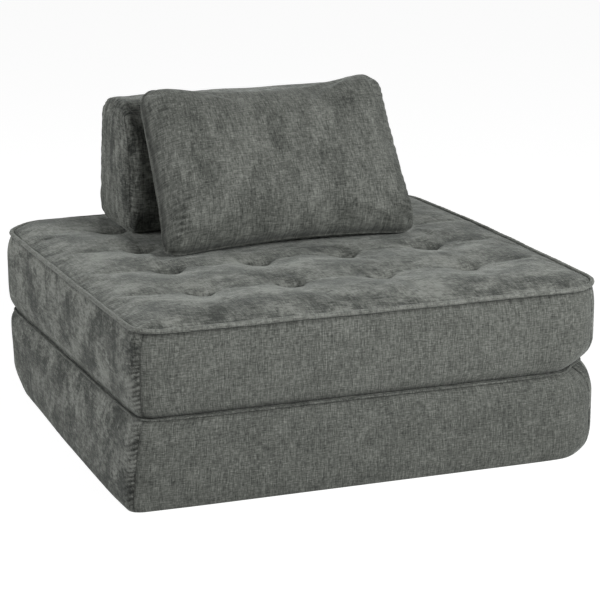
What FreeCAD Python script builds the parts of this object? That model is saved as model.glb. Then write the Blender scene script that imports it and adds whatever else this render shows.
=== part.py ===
import FreeCAD, Part
import math
import os

from FreeCAD import Placement, Rotation, Vector

# Floor chair: two stacked foam slabs hinged along the back, a loose backrest and a loose pillow.
# Millimetres. Origin on the floor under the seat's centre, +X along the front, front at -Y, +Z up.

# Seat slabs, measured over the faces of their sides
seat_width = 950.0
seat_depth = 950.0
corner_radius = 60.0
cover = 3.0
slab_gap = 1.0
lower_height = 172.5
upper_height = 161.0
# How far each edge is drawn in from the face of the side, and the height that its rounding takes
lower_base_in = 4.0
lower_base_round = 22.0
lower_top_in = 9.0
lower_top_round = 26.0
upper_under_in = 10.0
upper_under_round = 28.0
upper_piping_in = 6.0
upper_piping_round = 48.0

# Tufted top
crown = 11.5
crown_roll = 48.0
wadding = 12.0
tuft_count = 4
tuft_margin = 200.5
tuft_shift = 15.0
tuft_radius = 78.0
tuft_depth = 16.0
tuft_lip_rise = 1.0
knot_radius = 5.0
knot_height = 3.0
twine_radius = 1.2
washer_radius = 15.0
washer_thick = 2.0
seam_clearance = 0.3

# Cords sewn into the seams
piping_radius = 4.0
piping_out = 1.0
welt_radius = 2.0
welt_out = 2.0

# Fabric hinge at the back
hinge_side_margin = 80.0
hinge_leaf = 92.0
hinge_thick = 2.0
hinge_cord_radius = 2.0

# Backrest: a block with a trapezoid section
backrest_width = 520.0
backrest_height = 258.0
backrest_base = 238.0
backrest_top = 176.0
backrest_bow = 6.0
backrest_round = 28.0
backrest_end = 16.0
backrest_end_round = 13.0
backrest_back_margin = 30.0
backrest_base_margin = 30.0

# Pillow, leaning on the backrest
pillow_width = 556.0
pillow_height = 372.0
pillow_thick = 165.0
pillow_draw_in = 7.0
pillow_corner = 32.0
pillow_fullness = 2.8
pillow_swell = 0.7
pillow_waist = 165.0
pillow_cover = 3.0
pillow_seam = 9.0
pillow_lean = 34.0
pillow_turn = -3.0
pillow_offset = 22.0

# Clearance between pieces that move apart
rest_gap = 0.5

# Zips
slab_zip_margin = 125.0
backrest_zip_margin = 60.0
backrest_zip_height = 70.0
zip_tape_width = 30.0
zip_tape_thick = 1.6
zip_coil_width = 5.0
zip_coil_height = 1.5
zip_coil_inset = 10.0
slider_length = 12.0
slider_width = 10.0
slider_wall = 2.3
slider_inset = 22.0
bail_length = 4.0
bail_wall = 1.5
bail_pin_radius = 1.0
bail_rise = 2.7
pull_eye_radius = 2.2
pull_eye_clearance = 0.05
pull_length = 28.0
pull_thick = 1.6

# Levels and places that follow from the sizes above
half_width = seat_width / 2
half_depth = seat_depth / 2
upper_base = lower_height + slab_gap
piping_level = upper_base + upper_height
crest_level = piping_level + crown
fold_level = lower_height + slab_gap / 2
fold_y = half_depth + hinge_thick + slab_gap / 2
rest_level = crest_level + rest_gap


def line(start, end):
    return Part.makeLine(start, end)


class Side:
    # Upright side of a slab, rounded in to the seam at its low and high edges.
    def __init__(self, low, high, low_in, low_round, high_in, high_round):
        self.low = low
        self.high = high
        self.low_face = low + low_round
        self.high_face = high - high_round
        self.middle = (self.low_face + self.high_face) / 2
        self.low_arc = (low_round ** 2 + low_in ** 2) / (2 * low_in)
        self.high_arc = (high_round ** 2 + high_in ** 2) / (2 * high_in)

    def offset(self, level, inset):
        # Distance of the side from its face plane at a level, for a face lying inset under the cover.
        if level < self.low_face:
            return math.sqrt((self.low_arc - inset) ** 2 - (level - self.low_face) ** 2) - self.low_arc
        if level > self.high_face:
            return math.sqrt((self.high_arc - inset) ** 2 - (level - self.high_face) ** 2) - self.high_arc
        return -inset

    def point(self, level, inset):
        return Vector(self.offset(level, inset), 0, level)

    def arc(self, start, end, inset):
        ends = (self.point(start, inset), self.point((start + end) / 2, inset), self.point(end, inset))
        return Part.Arc(*ends).toShape()

    def edges(self, inset):
        face = line(self.point(self.low_face, inset), self.point(self.high_face, inset))
        return [self.arc(self.low, self.low_face, inset), face, self.arc(self.high_face, self.high, inset)]


lower_side = Side(0.0, lower_height, lower_base_in, lower_base_round, lower_top_in, lower_top_round)
upper_side = Side(
    upper_base, piping_level, upper_under_in, upper_under_round, upper_piping_in, upper_piping_round
)


def face_of(edges):
    return Part.Face(Part.Wire(Part.__sortEdges__(edges)))


def joined(shapes):
    return shapes[0].fuse(shapes[1:]).removeSplitter()


def side_panel(profile, normal_half, length_half):
    # A profile drawn at the face plane, run along one side and half-way round both its corners.
    run = length_half - corner_radius
    near = profile.translated(Vector(normal_half, -run, 0))
    far = profile.translated(Vector(normal_half, run, 0))
    up = Vector(0, 0, 1)
    near_corner = near.revolve(Vector(normal_half - corner_radius, -run, 0), up, -45)
    far_corner = far.revolve(Vector(normal_half - corner_radius, run, 0), up, 45)
    return joined([near.extrude(Vector(0, 2 * run, 0)), near_corner, far_corner])


def side_panels(profile):
    # The four sides of a slab: right, back, left, front.
    panels = {}
    for turn, name in enumerate(("right", "back", "left", "front")):
        halves = (half_width, half_depth) if turn % 2 == 0 else (half_depth, half_width)
        panel = side_panel(profile, *halves)
        panel.rotate(Vector(0, 0, 0), Vector(0, 0, 1), 90 * turn)
        panels[name] = panel
    return panels


def pad(profile, low, high):
    # A profile that reaches in to the corner centres, run all round and filled in the middle.
    across = seat_width - 2 * corner_radius
    along = seat_depth - 2 * corner_radius
    middle = Part.makeBox(across, along, high - low, Vector(-across / 2, -along / 2, low))
    return joined([middle] + list(side_panels(profile).values()))


def ring_cord(offset, level, radius):
    # A round cord along a seam, all round a slab.
    circle = Part.makeCircle(radius, Vector(offset, 0, level), Vector(0, 1, 0))
    return joined(list(side_panels(Part.Face(Part.Wire(circle))).values()))


def layer(solid, low, high):
    box = Part.makeBox(2 * seat_width, 2 * seat_depth, high - low, Vector(-seat_width, -seat_depth, low))
    return solid.common(box)


def boxing_profile(side):
    outer = side.edges(0)
    inner = side.edges(cover)
    top = line(side.point(side.high, 0), side.point(side.high, cover))
    base = line(side.point(side.low, 0), side.point(side.low, cover))
    return face_of(outer + inner + [top, base])


def inside_profile(side):
    low_centre = Vector(-corner_radius, 0, side.low)
    high_centre = Vector(-corner_radius, 0, side.high)
    top = line(side.point(side.high, cover), high_centre)
    base = line(side.point(side.low, cover), low_centre)
    return face_of(side.edges(cover) + [top, base, line(low_centre, high_centre)])


def crown_profile():
    # Rolled edge of the tufted top, over the boxing's top edge and down into the slab.
    side = upper_side
    floor_level = piping_level - wadding
    arc = (crown_roll ** 2 + crown ** 2) / (2 * crown)
    seam = side.point(piping_level, 0)
    brow = Vector(seam.x - crown_roll, 0, crest_level)
    half = crown_roll / 2
    shoulder = Vector(seam.x - half, 0, crest_level - arc + math.sqrt(arc ** 2 - half ** 2))
    centre_top = Vector(-corner_radius, 0, crest_level)
    centre_base = Vector(-corner_radius, 0, floor_level)
    return face_of([
        line(side.point(piping_level, cover), seam),
        Part.Arc(seam, shoulder, brow).toShape(),
        line(brow, centre_top),
        line(centre_top, centre_base),
        line(centre_base, side.point(floor_level, cover)),
        side.arc(floor_level, piping_level, cover),
    ])


def tuft_places():
    last = tuft_count - 1
    reach_x = half_width - tuft_margin
    reach_y = half_depth - tuft_margin
    return [
        Vector(reach_x * (2 * i / last - 1), reach_y * (2 * j / last - 1) + tuft_shift, 0)
        for j in range(tuft_count)
        for i in range(tuft_count)
    ]


def disc(place, radius, low, high):
    return Part.makeCylinder(radius, high - low, Vector(place.x, place.y, low))


def tuft_pit():
    # Funnel with rounded shoulders, and a flat for the knot at its foot.
    foot = crest_level - tuft_depth
    lip = crest_level + tuft_lip_rise
    fall = lip - foot
    reach = tuft_radius - knot_radius
    arc = (reach ** 2 + fall ** 2) / (2 * fall)
    half = reach / 2
    shoulder = Vector(tuft_radius - half, 0, lip - arc + math.sqrt(arc ** 2 - half ** 2))
    axis_foot = Vector(0, 0, foot)
    edge_foot = Vector(knot_radius, 0, foot)
    edge_lip = Vector(tuft_radius, 0, lip)
    axis_lip = Vector(0, 0, lip)
    profile = face_of([
        line(axis_foot, edge_foot),
        Part.Arc(edge_foot, shoulder, edge_lip).toShape(),
        line(edge_lip, axis_lip),
        line(axis_lip, axis_foot),
    ])
    return profile.revolve(Vector(0, 0, 0), Vector(0, 0, 1), 360)


def zip_frame(normal_place, along, normal):
    # Places a zip drawn with +X along it and +Z out of the cloth.
    across = normal.cross(along)
    return Placement(normal_place, Rotation(along, across, normal, "ZXY"))


def zip_box(length, width, low, high):
    return Part.makeBox(length, width, high - low, Vector(-length / 2, -width / 2, low))


def zip_groove(length):
    slack = 2 * seam_clearance
    return zip_box(length + slack, zip_tape_width + slack, -zip_tape_thick - seam_clearance, zip_tape_width)


def zip_pieces(length):
    # Tape, coil, slider and pull of a zip, with the slider at its closed end.
    tape = zip_box(length, zip_tape_width, -zip_tape_thick, 0)
    coil = zip_box(length - 2 * zip_coil_inset, zip_coil_width, 0, zip_coil_height)
    tunnel_top = zip_coil_height + rest_gap
    roof = tunnel_top + slider_wall
    pin_level = roof + bail_rise
    slider = zip_box(slider_length, slider_width, rest_gap, roof)
    slider = slider.cut(zip_box(2 * slider_length, zip_coil_width + 2 * rest_gap, 0, tunnel_top))
    ear = zip_box(bail_length, bail_wall, roof, pin_level + bail_length / 2)
    ear_shift = (slider_width - bail_wall) / 2
    ears = [ear.translated(Vector(0, side * ear_shift, 0)) for side in (-1, 1)]
    pin_start = Vector(0, -slider_width / 2, pin_level)
    pin = Part.makeCylinder(bail_pin_radius, slider_width, pin_start, Vector(0, 1, 0))
    slider = joined([slider, pin] + ears)
    pull_width = slider_width - 2 * bail_wall - 2 * rest_gap
    eye_start = Vector(0, -pull_width / 2, pin_level)
    eye = Part.makeCylinder(pull_eye_radius, pull_width, eye_start, Vector(0, 1, 0))
    tab_corner = Vector(0, -pull_width / 2, pin_level - pull_thick / 2)
    tab = Part.makeBox(pull_length, pull_width, pull_thick, tab_corner)
    bore = Part.makeCylinder(bail_pin_radius + pull_eye_clearance, pull_width, eye_start, Vector(0, 1, 0))
    pull = joined([eye, tab]).cut(bore)
    start = Vector(slider_inset - length / 2, 0, 0)
    return {
        "zip_tape": tape,
        "zip_coil": coil,
        "zip_slider": slider.translated(start),
        "zip_pull": pull.translated(start),
    }


def placed(shape, place):
    moved = shape.copy()
    moved.Placement = place.multiply(moved.Placement)
    return moved


def add_zip(parts, owner, panel, length, place):
    # Sinks a zip into a panel and adds its pieces.
    parts[panel] = parts[panel].cut(placed(zip_groove(length), place))
    for name, shape in zip_pieces(length).items():
        parts[owner + "_" + name] = placed(shape, place)


def lower_slab():
    inside = pad(inside_profile(lower_side), 0.0, lower_height)
    parts = {
        "lower_base_panel": layer(inside, 0.0, cover),
        "lower_foam_core": layer(inside, cover, lower_height - cover),
        "lower_top_panel": layer(inside, lower_height - cover, lower_height),
    }
    welt_offset = lower_side.offset(lower_height, 0) + welt_out
    welt_level = lower_height - welt_radius
    groove = ring_cord(welt_offset, welt_level, welt_radius + seam_clearance)
    parts["lower_top_welt"] = ring_cord(welt_offset, welt_level, welt_radius)
    for name, panel in side_panels(boxing_profile(lower_side)).items():
        parts["lower_" + name + "_boxing"] = panel.cut(groove)
    place = zip_frame(Vector(half_width, 0, lower_side.middle), Vector(0, 1, 0), Vector(1, 0, 0))
    add_zip(parts, "lower", "lower_right_boxing", seat_depth - 2 * slab_zip_margin, place)
    return parts


def upper_slab():
    inside = pad(inside_profile(upper_side), upper_base, piping_level)
    core_top = piping_level - wadding
    top = pad(crown_profile(), core_top, crest_level)
    core = layer(inside, upper_base + cover, core_top)
    washer_top = upper_base + cover + washer_thick
    knot_base = crest_level - tuft_depth
    pit = tuft_pit()
    knots = []
    twines = []
    washers = []
    for place in tuft_places():
        top = top.cut(pit.translated(place))
        top = top.cut(disc(place, twine_radius + seam_clearance, core_top, knot_base))
        core = core.cut(disc(place, twine_radius + seam_clearance, washer_top, core_top))
        core = core.cut(disc(place, washer_radius + seam_clearance, upper_base + cover, washer_top))
        knots.append(disc(place, knot_radius, knot_base, knot_base + knot_height))
        twines.append(disc(place, twine_radius, washer_top, knot_base))
        washers.append(disc(place, washer_radius, upper_base + cover, washer_top))
    piping_offset = upper_side.offset(piping_level, 0) + piping_out
    groove = ring_cord(piping_offset, piping_level, piping_radius + seam_clearance)
    parts = {
        "upper_under_panel": layer(inside, upper_base, upper_base + cover),
        "upper_foam_core": core,
        "upper_top_panel": top.cut(groove),
        "upper_top_piping": ring_cord(piping_offset, piping_level, piping_radius),
        "tuft_knots": Part.makeCompound(knots),
        "tuft_twines": Part.makeCompound(twines),
        "tuft_washers": Part.makeCompound(washers),
    }
    for name, panel in side_panels(boxing_profile(upper_side)).items():
        parts["upper_" + name + "_boxing"] = panel.cut(groove)
    place = zip_frame(Vector(half_width, 0, upper_side.middle), Vector(0, 1, 0), Vector(1, 0, 0))
    add_zip(parts, "upper", "upper_right_boxing", seat_depth - 2 * slab_zip_margin, place)
    return parts


def hinge():
    # Cloth strip sewn to both back boxings, in two halves either side of a cord on the fold line.
    length = seat_width - 2 * hinge_side_margin
    reach = hinge_cord_radius + seam_clearance
    corner = Vector(-length / 2, half_depth, 0)
    leaf = Part.makeBox(length, hinge_thick, hinge_leaf - reach, corner)
    cord_start = Vector(-length / 2, fold_y, fold_level)
    return {
        "hinge_strip_lower": leaf.translated(Vector(0, 0, fold_level - hinge_leaf)),
        "hinge_strip_upper": leaf.translated(Vector(0, 0, fold_level + reach)),
        "hinge_fold_cord": Part.makeCylinder(hinge_cord_radius, length, cord_start, Vector(1, 0, 0)),
    }


def backrest_block(inset, half_length):
    # Trapezoid block with bowed front, top and back, set in from the cover's outside by inset.
    back = half_depth - backrest_back_margin
    middle = back - backrest_base / 2
    top_level = rest_level + backrest_height
    slope = (backrest_base - backrest_top) / 2 / backrest_height
    side_inset = inset * math.sqrt(1 + slope ** 2)
    base_level = rest_level + inset
    bow = backrest_bow
    low_half = backrest_base / 2 - bow - side_inset - slope * inset
    high_half = backrest_top / 2 - bow - side_inset + slope * (inset + bow)
    high_level = top_level - bow - inset
    centre_half = (low_half + high_half) / 2 + bow
    centre_level = (base_level + high_level) / 2
    low_front = Vector(-half_length, middle - low_half, base_level)
    low_back = Vector(-half_length, middle + low_half, base_level)
    high_front = Vector(-half_length, middle - high_half, high_level)
    high_back = Vector(-half_length, middle + high_half, high_level)
    outline = face_of([
        line(low_front, low_back),
        Part.Arc(low_back, Vector(-half_length, middle + centre_half, centre_level), high_back).toShape(),
        Part.Arc(high_back, Vector(-half_length, middle, high_level + bow), high_front).toShape(),
        Part.Arc(high_front, Vector(-half_length, middle - centre_half, centre_level), low_front).toShape(),
    ])
    block = outline.extrude(Vector(2 * half_length, 0, 0))
    long_edges = [e for e in block.Edges if abs(e.tangentAt(e.FirstParameter).x) > 0.99]
    return block.makeFillet(backrest_round - inset, long_edges)


def backrest():
    half_length = backrest_width / 2
    inner_half = half_length - backrest_end
    whole = backrest_block(0.0, half_length)
    rims = [e for e in whole.Edges if abs(e.tangentAt(e.FirstParameter).x) < 0.01]
    whole = whole.makeFillet(backrest_end_round, rims)
    core = backrest_block(cover, inner_half)
    length = 2 * inner_half
    room = Part.makeBox(length, seat_depth, 2 * backrest_height, Vector(-inner_half, 0, crest_level))
    sleeve = whole.common(room).cut(core)
    middle = half_depth - backrest_back_margin - backrest_base / 2
    base_half = backrest_base / 2 - backrest_base_margin
    base_room = Part.makeBox(length, 2 * base_half, cover, Vector(-inner_half, middle - base_half, rest_level))
    parts = {
        "backrest_foam_core": core,
        "backrest_wrap_panel": sleeve.cut(base_room),
        "backrest_base_panel": sleeve.common(base_room),
        "backrest_left_end": whole.common(room.translated(Vector(-length, 0, 0))),
        "backrest_right_end": whole.common(room.translated(Vector(length, 0, 0))),
    }
    level = rest_level + backrest_zip_height
    probe = line(Vector(0, middle, level), Vector(0, middle + backrest_base, level))
    skin = parts["backrest_wrap_panel"].common(probe)
    spot = Vector(0, skin.BoundBox.YMax, level)
    face = min(whole.Faces, key=lambda f: f.distToShape(Part.Vertex(spot))[0])
    normal = face.normalAt(*face.Surface.parameter(spot))
    place = zip_frame(spot, Vector(-1, 0, 0), normal)
    add_zip(parts, "backrest", "backrest_wrap_panel", backrest_width - 2 * backrest_zip_margin, place)
    return parts, whole


def pillow_sections(inset):
    # Distance along the pillow and drop of the seam there: the rounded corner, then the long seam.
    half_length = pillow_width / 2 - inset
    corner = pillow_corner - inset
    half_side = []
    for share in (0.0, 0.12, 0.45, 1.0):
        reach = corner * share
        drop = corner - math.sqrt(corner ** 2 - (corner - reach) ** 2)
        half_side.append((half_length - reach, drop))
    half_side.append((pillow_waist, 0.0))
    return [(-x, drop) for x, drop in half_side] + [(0.0, 0.0)] + half_side[::-1]


def pillow_half(inset, thick):
    # Front face of a knife-edge pillow lying in the XZ plane, lofted through arcs from seam to seam.
    half_length = pillow_width / 2 - inset
    half_height = pillow_height / 2 - inset
    sections = []
    for seam_x, drop in pillow_sections(inset):
        station = seam_x / half_length
        swell = (1 - abs(station) ** pillow_fullness) ** pillow_swell
        belly_x = station * (half_length - pillow_draw_in)
        seam_z = half_height - pillow_draw_in * (1 - station ** 2) - drop
        foot = Vector(seam_x, 0, -seam_z)
        belly = Vector(belly_x, -thick / 2 * swell, 0)
        head = Vector(seam_x, 0, seam_z)
        sections.append(Part.Wire(Part.Arc(foot, belly, head).toShape()))
    return Part.makeLoft(sections, False, False)


def pillow_solid(inset, thick):
    front = pillow_half(inset, thick)
    back = front.mirror(Vector(0, 0, 0), Vector(0, 1, 0))
    shell = Part.makeShell(front.Faces + back.Faces)
    shell.sewShape()
    return Part.makeSolid(shell)


def pillow(support):
    # Leans the pillow back, sets its foot on the seat and pushes it against the backrest.
    whole = pillow_solid(0.0, pillow_thick)
    fill = pillow_solid(pillow_seam, pillow_thick - 2 * pillow_cover)
    turn = Rotation(Vector(0, 0, 1), -pillow_turn).multiply(Rotation(Vector(1, 0, 0), -pillow_lean))
    place = Placement(Vector(pillow_offset, -pillow_height, 0), turn)
    foot = placed(whole, place).optimalBoundingBox().ZMin
    place.Base.z = rest_level - foot
    gap = placed(whole, place).distToShape(support)[0]
    while gap > 1.5 * rest_gap:
        place.Base.y += gap - rest_gap
        gap = placed(whole, place).distToShape(support)[0]
    cover_solid = whole.cut(fill)
    size = 2 * pillow_width
    front_room = Part.makeBox(size, size, size, Vector(-size / 2, -size, -size / 2))
    back_room = front_room.translated(Vector(0, size, 0))
    flat = {
        "pillow_fill": fill,
        "pillow_front_panel": cover_solid.common(front_room),
        "pillow_back_panel": cover_solid.common(back_room),
    }
    return {name: placed(shape, place) for name, shape in flat.items()}


def main():
    os.makedirs("parts", exist_ok=True)
    parts = {}
    parts.update(lower_slab())
    parts.update(upper_slab())
    parts.update(hinge())
    backrest_parts, backrest_whole = backrest()
    parts.update(backrest_parts)
    parts.update(pillow(backrest_whole))
    for name, shape in parts.items():
        print(name, len(shape.Solids), shape.isValid(), round(shape.Volume))
        shape.exportStep("parts/" + name + ".step")


main()
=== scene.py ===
import math

import bpy
import numpy as np
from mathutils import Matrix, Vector


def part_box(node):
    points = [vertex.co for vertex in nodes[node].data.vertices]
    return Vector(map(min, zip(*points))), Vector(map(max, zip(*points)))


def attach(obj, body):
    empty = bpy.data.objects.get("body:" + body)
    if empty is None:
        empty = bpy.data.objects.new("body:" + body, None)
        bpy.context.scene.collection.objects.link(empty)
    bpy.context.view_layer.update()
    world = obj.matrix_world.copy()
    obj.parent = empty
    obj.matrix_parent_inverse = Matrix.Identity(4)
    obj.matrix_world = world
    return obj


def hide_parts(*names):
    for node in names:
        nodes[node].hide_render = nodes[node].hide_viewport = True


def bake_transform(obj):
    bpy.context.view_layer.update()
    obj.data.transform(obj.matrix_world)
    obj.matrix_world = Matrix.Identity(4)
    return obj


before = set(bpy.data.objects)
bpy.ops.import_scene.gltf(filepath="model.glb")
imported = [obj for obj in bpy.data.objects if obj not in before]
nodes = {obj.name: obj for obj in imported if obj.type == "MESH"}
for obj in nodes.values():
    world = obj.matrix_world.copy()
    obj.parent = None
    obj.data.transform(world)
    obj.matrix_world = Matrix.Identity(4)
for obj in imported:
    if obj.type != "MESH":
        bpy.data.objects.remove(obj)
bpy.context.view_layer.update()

scene = bpy.context.scene
bpy.ops.object.select_all(action="DESELECT")


# camera at the photograph's angle, fitted on a 600 pixel square frame
cameraFit = {
    "place": (-1.7540, -4.5106, 1.4903), "yaw": 21.520, "pitch": 14.482,
    "focalPixels": 2478.5, "framePixels": 600, "sensor": 36,
    "clipEnd": 60,
}


def addCamera():
    turn = (math.radians(90 - cameraFit["pitch"]), 0, -math.radians(cameraFit["yaw"]))
    bpy.ops.object.camera_add(location=cameraFit["place"], rotation=turn)
    camera = bpy.context.object
    camera.name = "photoCamera"
    camera.data.sensor_width = cameraFit["sensor"]
    camera.data.lens = cameraFit["sensor"] * cameraFit["focalPixels"] / cameraFit["framePixels"]
    camera.data.clip_end = cameraFit["clipEnd"]
    scene.camera = camera


# mesh helpers
def readRows(rows, name):
    values = np.empty(len(rows) * 3, np.float32)
    rows.foreach_get(name, values)
    return values.reshape(-1, 3).astype(float)


def readPoints(obj):
    return readRows(obj.data.vertices, "co")


def readNormals(obj):
    return readRows(obj.data.vertex_normals, "vector")


def writePoints(obj, points):
    obj.data.vertices.foreach_set("co", np.ascontiguousarray(points, dtype=np.float32).ravel())
    obj.data.update()


def keepLayout(obj, rows):
    layer = obj.data.attributes.new("layout", "FLOAT_VECTOR", "POINT")
    layer.data.foreach_set("vector", np.ascontiguousarray(rows, dtype=np.float32).ravel())


def readCover(obj):
    layout = readRows(obj.data.attributes["layout"].data, "vector")
    return layout, readPoints(obj), readNormals(obj)


def keepTones(obj, shade, nap):
    # painted shade in the seams, gaps, gathers, puckers and tuft pits, and how strongly the nap mottles,
    # partly a painted sheen
    for name, values in (("seamShade", np.clip(shade, 0, 1)), ("ruffledSheen", nap + 0 * shade)):
        layer = obj.data.attributes.new(name, "FLOAT", "POINT")
        layer.data.foreach_set("value", values.astype(np.float32))


def onlySelect(*objs):
    bpy.ops.object.select_all(action="DESELECT")
    for obj in objs:
        obj.select_set(True)
    bpy.context.view_layer.objects.active = objs[0]


def setAll(target, settings):
    for key, value in settings.items():
        setattr(target, key, value)


def applyModifier(obj, kind, **settings):
    modifier = obj.modifiers.new(kind.lower(), kind)
    setAll(modifier, settings)
    onlySelect(obj)
    bpy.ops.object.modifier_apply(modifier=modifier.name)


def linkObject(name, data):
    obj = bpy.data.objects.new(name, data)
    scene.collection.objects.link(obj)
    onlySelect(obj)
    return obj


def editAll(operation, **settings):
    # one edit mode operation on the active mesh
    bpy.ops.object.mode_set(mode="EDIT")
    bpy.ops.mesh.select_all(action="SELECT")
    operation(**settings)
    bpy.ops.object.mode_set(mode="OBJECT")


def step(edge0, edge1, values):
    t = np.clip((values - edge0) / (edge1 - edge0), 0, 1)
    return t * t * (3 - 2 * t)


def hill(values, width):
    # 1 at nought, falling off to both sides
    return np.exp(-(values / width) ** 2)


def drift(points, wave, seed, count=9):
    # smooth unevenness from a few waves in seeded directions, about -1 to 1
    chance = np.random.default_rng(seed)
    total = np.zeros(len(points))
    for _ in range(count):
        way = chance.normal(size=points.shape[1])
        way /= np.linalg.norm(way)
        length = wave * chance.uniform(0.6, 1.6)
        total += np.sin(points @ way * (2 * math.pi / length) + chance.uniform(0, 2 * math.pi))
    return total / math.sqrt(count) / 1.4


def spread(cells, half, crowded, width, extra):
    # cell edges from -half to half, closer together near the crowded places
    fine = np.linspace(-half, half, 4001)
    density = 1 + extra * sum(hill(fine - place, width) for place in crowded)
    run = np.concatenate([[0], np.cumsum((density[1:] + density[:-1]) / 2)])
    return np.interp(np.linspace(0, run[-1], cells + 1), run, fine)


def addPanel(name, across, along, lay, cloth):
    # a grid of cloth; lay turns cell edges into places, cloth into weave coordinates
    columns, rows = len(across) - 1, len(along) - 1
    bpy.ops.mesh.primitive_grid_add(x_subdivisions=columns, y_subdivisions=rows, size=1)
    panel = bpy.context.object
    panel.name = name
    unit = readPoints(panel)
    first = across[np.rint((unit[:, 0] + 0.5) * columns).astype(int)]
    second = along[np.rint((unit[:, 1] + 0.5) * rows).astype(int)]
    writePoints(panel, np.stack(lay(first, second), axis=1))
    corner = np.empty(len(panel.data.loops), int)
    panel.data.loops.foreach_get("vertex_index", corner)
    weave = np.stack([first[corner] + cloth[0], second[corner] + cloth[1]], axis=1)
    panel.data.uv_layers[0].name = "weave"
    panel.data.uv_layers[0].uv.foreach_set("vector", weave.astype(np.float32).ravel())
    return panel


def sewPanels(name, panels):
    onlySelect(*panels)
    bpy.ops.object.join()
    cover = bpy.context.object
    cover.name = name
    editAll(bpy.ops.mesh.remove_doubles, threshold=0.00005)
    editAll(bpy.ops.mesh.normals_make_consistent, inside=False)
    return cover


def sewBox(name, xs, ys, zs, cloth, deep=1.0):
    # six panels from the cell edges of a box; deep is cloth per depth
    panels = []

    def sewOn(across, along, lay):
        panels.append(addPanel("panel", across, along, lay, (cloth[0] + 2 * len(panels), cloth[1])))

    for z in (zs[-1], zs[0]):
        sewOn(xs, ys, lambda a, b: (a, b / deep, 0 * a + z))
    for y in (ys[0] / deep, ys[-1] / deep):
        sewOn(xs, zs, lambda a, b: (a, 0 * a + y, b))
    for x in (xs[0], xs[-1]):
        sewOn(ys, zs, lambda a, b: (0 * a + x, a / deep, b))
    return sewPanels(name, panels)


def roundPlan(p, q, halfP, halfQ, radius, inset):
    # draws a rectangle's points in by inset and rounds its corners
    share = np.maximum(np.maximum(np.abs(p) / halfP, np.abs(q) / halfQ), 1e-9)
    edgeP, edgeQ = p / share, q / share
    onP = np.abs(p) / halfP >= np.abs(q) / halfQ
    away = np.where(onP, halfQ - np.abs(edgeQ), halfP - np.abs(edgeP))
    tight = np.maximum(radius - 0.4 * inset, 0.004)
    newP, newQ = halfP - inset, halfQ - inset
    scale = np.where(onP, newQ / halfQ, newP / halfP)
    away = away * scale
    turn = math.pi / 4 * np.clip(1 - away / tight, 0, 1)
    bent = away < tight
    facing = np.where(onP, newP, newQ)
    other = np.where(onP, newQ, newP)
    straight = np.where(bent, facing - tight + tight * np.cos(turn), facing)
    side = np.where(bent, other - tight + tight * np.sin(turn), other - away)
    rimP = np.where(onP, straight, side) * np.sign(p)
    rimQ = np.where(onP, side, straight) * np.sign(q)
    pull = share ** 8
    plainP, plainQ = p * newP / halfP, q * newQ / halfQ
    rimPlainP, rimPlainQ = edgeP * newP / halfP, edgeQ * newQ / halfQ
    return plainP + (rimP - rimPlainP) * pull, plainQ + (rimQ - rimPlainQ) * pull


def insideBy(x, y, half, radius):
    # distance in from the edge of a rounded square
    qx, qy = np.abs(x) - (half - radius), np.abs(y) - (half - radius)
    beyond = np.hypot(np.maximum(qx, 0), np.maximum(qy, 0))
    return radius - beyond - np.minimum(np.maximum(qx, qy), 0)


clothCut = {
    "quality": 4, "mass": 0.25, "tension_stiffness": 20,
    "compression_stiffness": 20, "shear_stiffness": 6, "tension_damping": 10,
    "compression_damping": 10, "shear_damping": 8, "air_damping": 3,
    "use_pressure": True, "vertex_group_mass": "pinned",
}


def addGroup(obj, name, chosen):
    group = obj.vertex_groups.new(name=name)
    group.add([int(i) for i in np.nonzero(chosen)[0]], 1.0, "REPLACE")


def puff(cover, pinned, pressure, grow, frames, cap, bend=0.8, taut=None):
    # swells a pinned cover as cloth, no point further than cap; taut points get no ease
    rest = readPoints(cover)
    addGroup(cover, "pinned", pinned)
    cloth = cover.modifiers.new("puff", "CLOTH")
    setAll(cloth.settings, clothCut)
    cloth.settings.bending_stiffness = bend
    cloth.settings.uniform_pressure_force = pressure
    cloth.settings.shrink_min = -grow
    if taut is not None:
        addGroup(cover, "snug", taut)
        cloth.settings.vertex_group_shrink = "snug"
        cloth.settings.shrink_max = -0.001
    cloth.settings.effector_weights.gravity = 0
    cloth.collision_settings.use_collision = False
    cloth.collision_settings.use_self_collision = False
    cloth.point_cache.frame_start, cloth.point_cache.frame_end = 1, frames
    for number in range(1, frames + 1):
        scene.frame_set(number)
    onlySelect(cover)
    bpy.ops.object.modifier_apply(modifier=cloth.name)
    scene.frame_set(1)
    cover.vertex_groups.clear()
    moved = readPoints(cover) - rest
    size = np.linalg.norm(moved, axis=1)
    mean, most = round(size.mean() * 1000, 2), round(size.max() * 1000, 2)
    print("  ", cover.name, "cloth moved mean", mean, "most", most, "mm")
    hold = np.minimum(1, cap / np.maximum(size, 1e-9))
    writePoints(cover, rest + moved * hold[:, None])


def finishCover(cover):
    applyModifier(cover, "SUBSURF", levels=1, render_levels=1)
    bpy.ops.object.shade_smooth()


# materials
def freshMaterial(name):
    material = bpy.data.materials.new(name)
    material.use_nodes = True
    return material, material.node_tree, material.node_tree.nodes["Principled BSDF"]


def addNode(tree, kind, **settings):
    node = tree.nodes.new(kind)
    for key, value in settings.items():
        if key.startswith("in_"):
            node.inputs[key[3:].replace("_", " ")].default_value = value
        else:
            setattr(node, key, value)
    return node


def addMath(tree, operation, first, second):
    node = tree.nodes.new("ShaderNodeMath")
    node.operation = operation
    for socket, value in zip(node.inputs, (first, second)):
        if isinstance(value, (int, float)):
            socket.default_value = value
        else:
            tree.links.new(value, socket)
    return node.outputs[0]


def addLinear(tree, source, scale, shift):
    return addMath(tree, "ADD", addMath(tree, "MULTIPLY", source, scale), shift)


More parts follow.
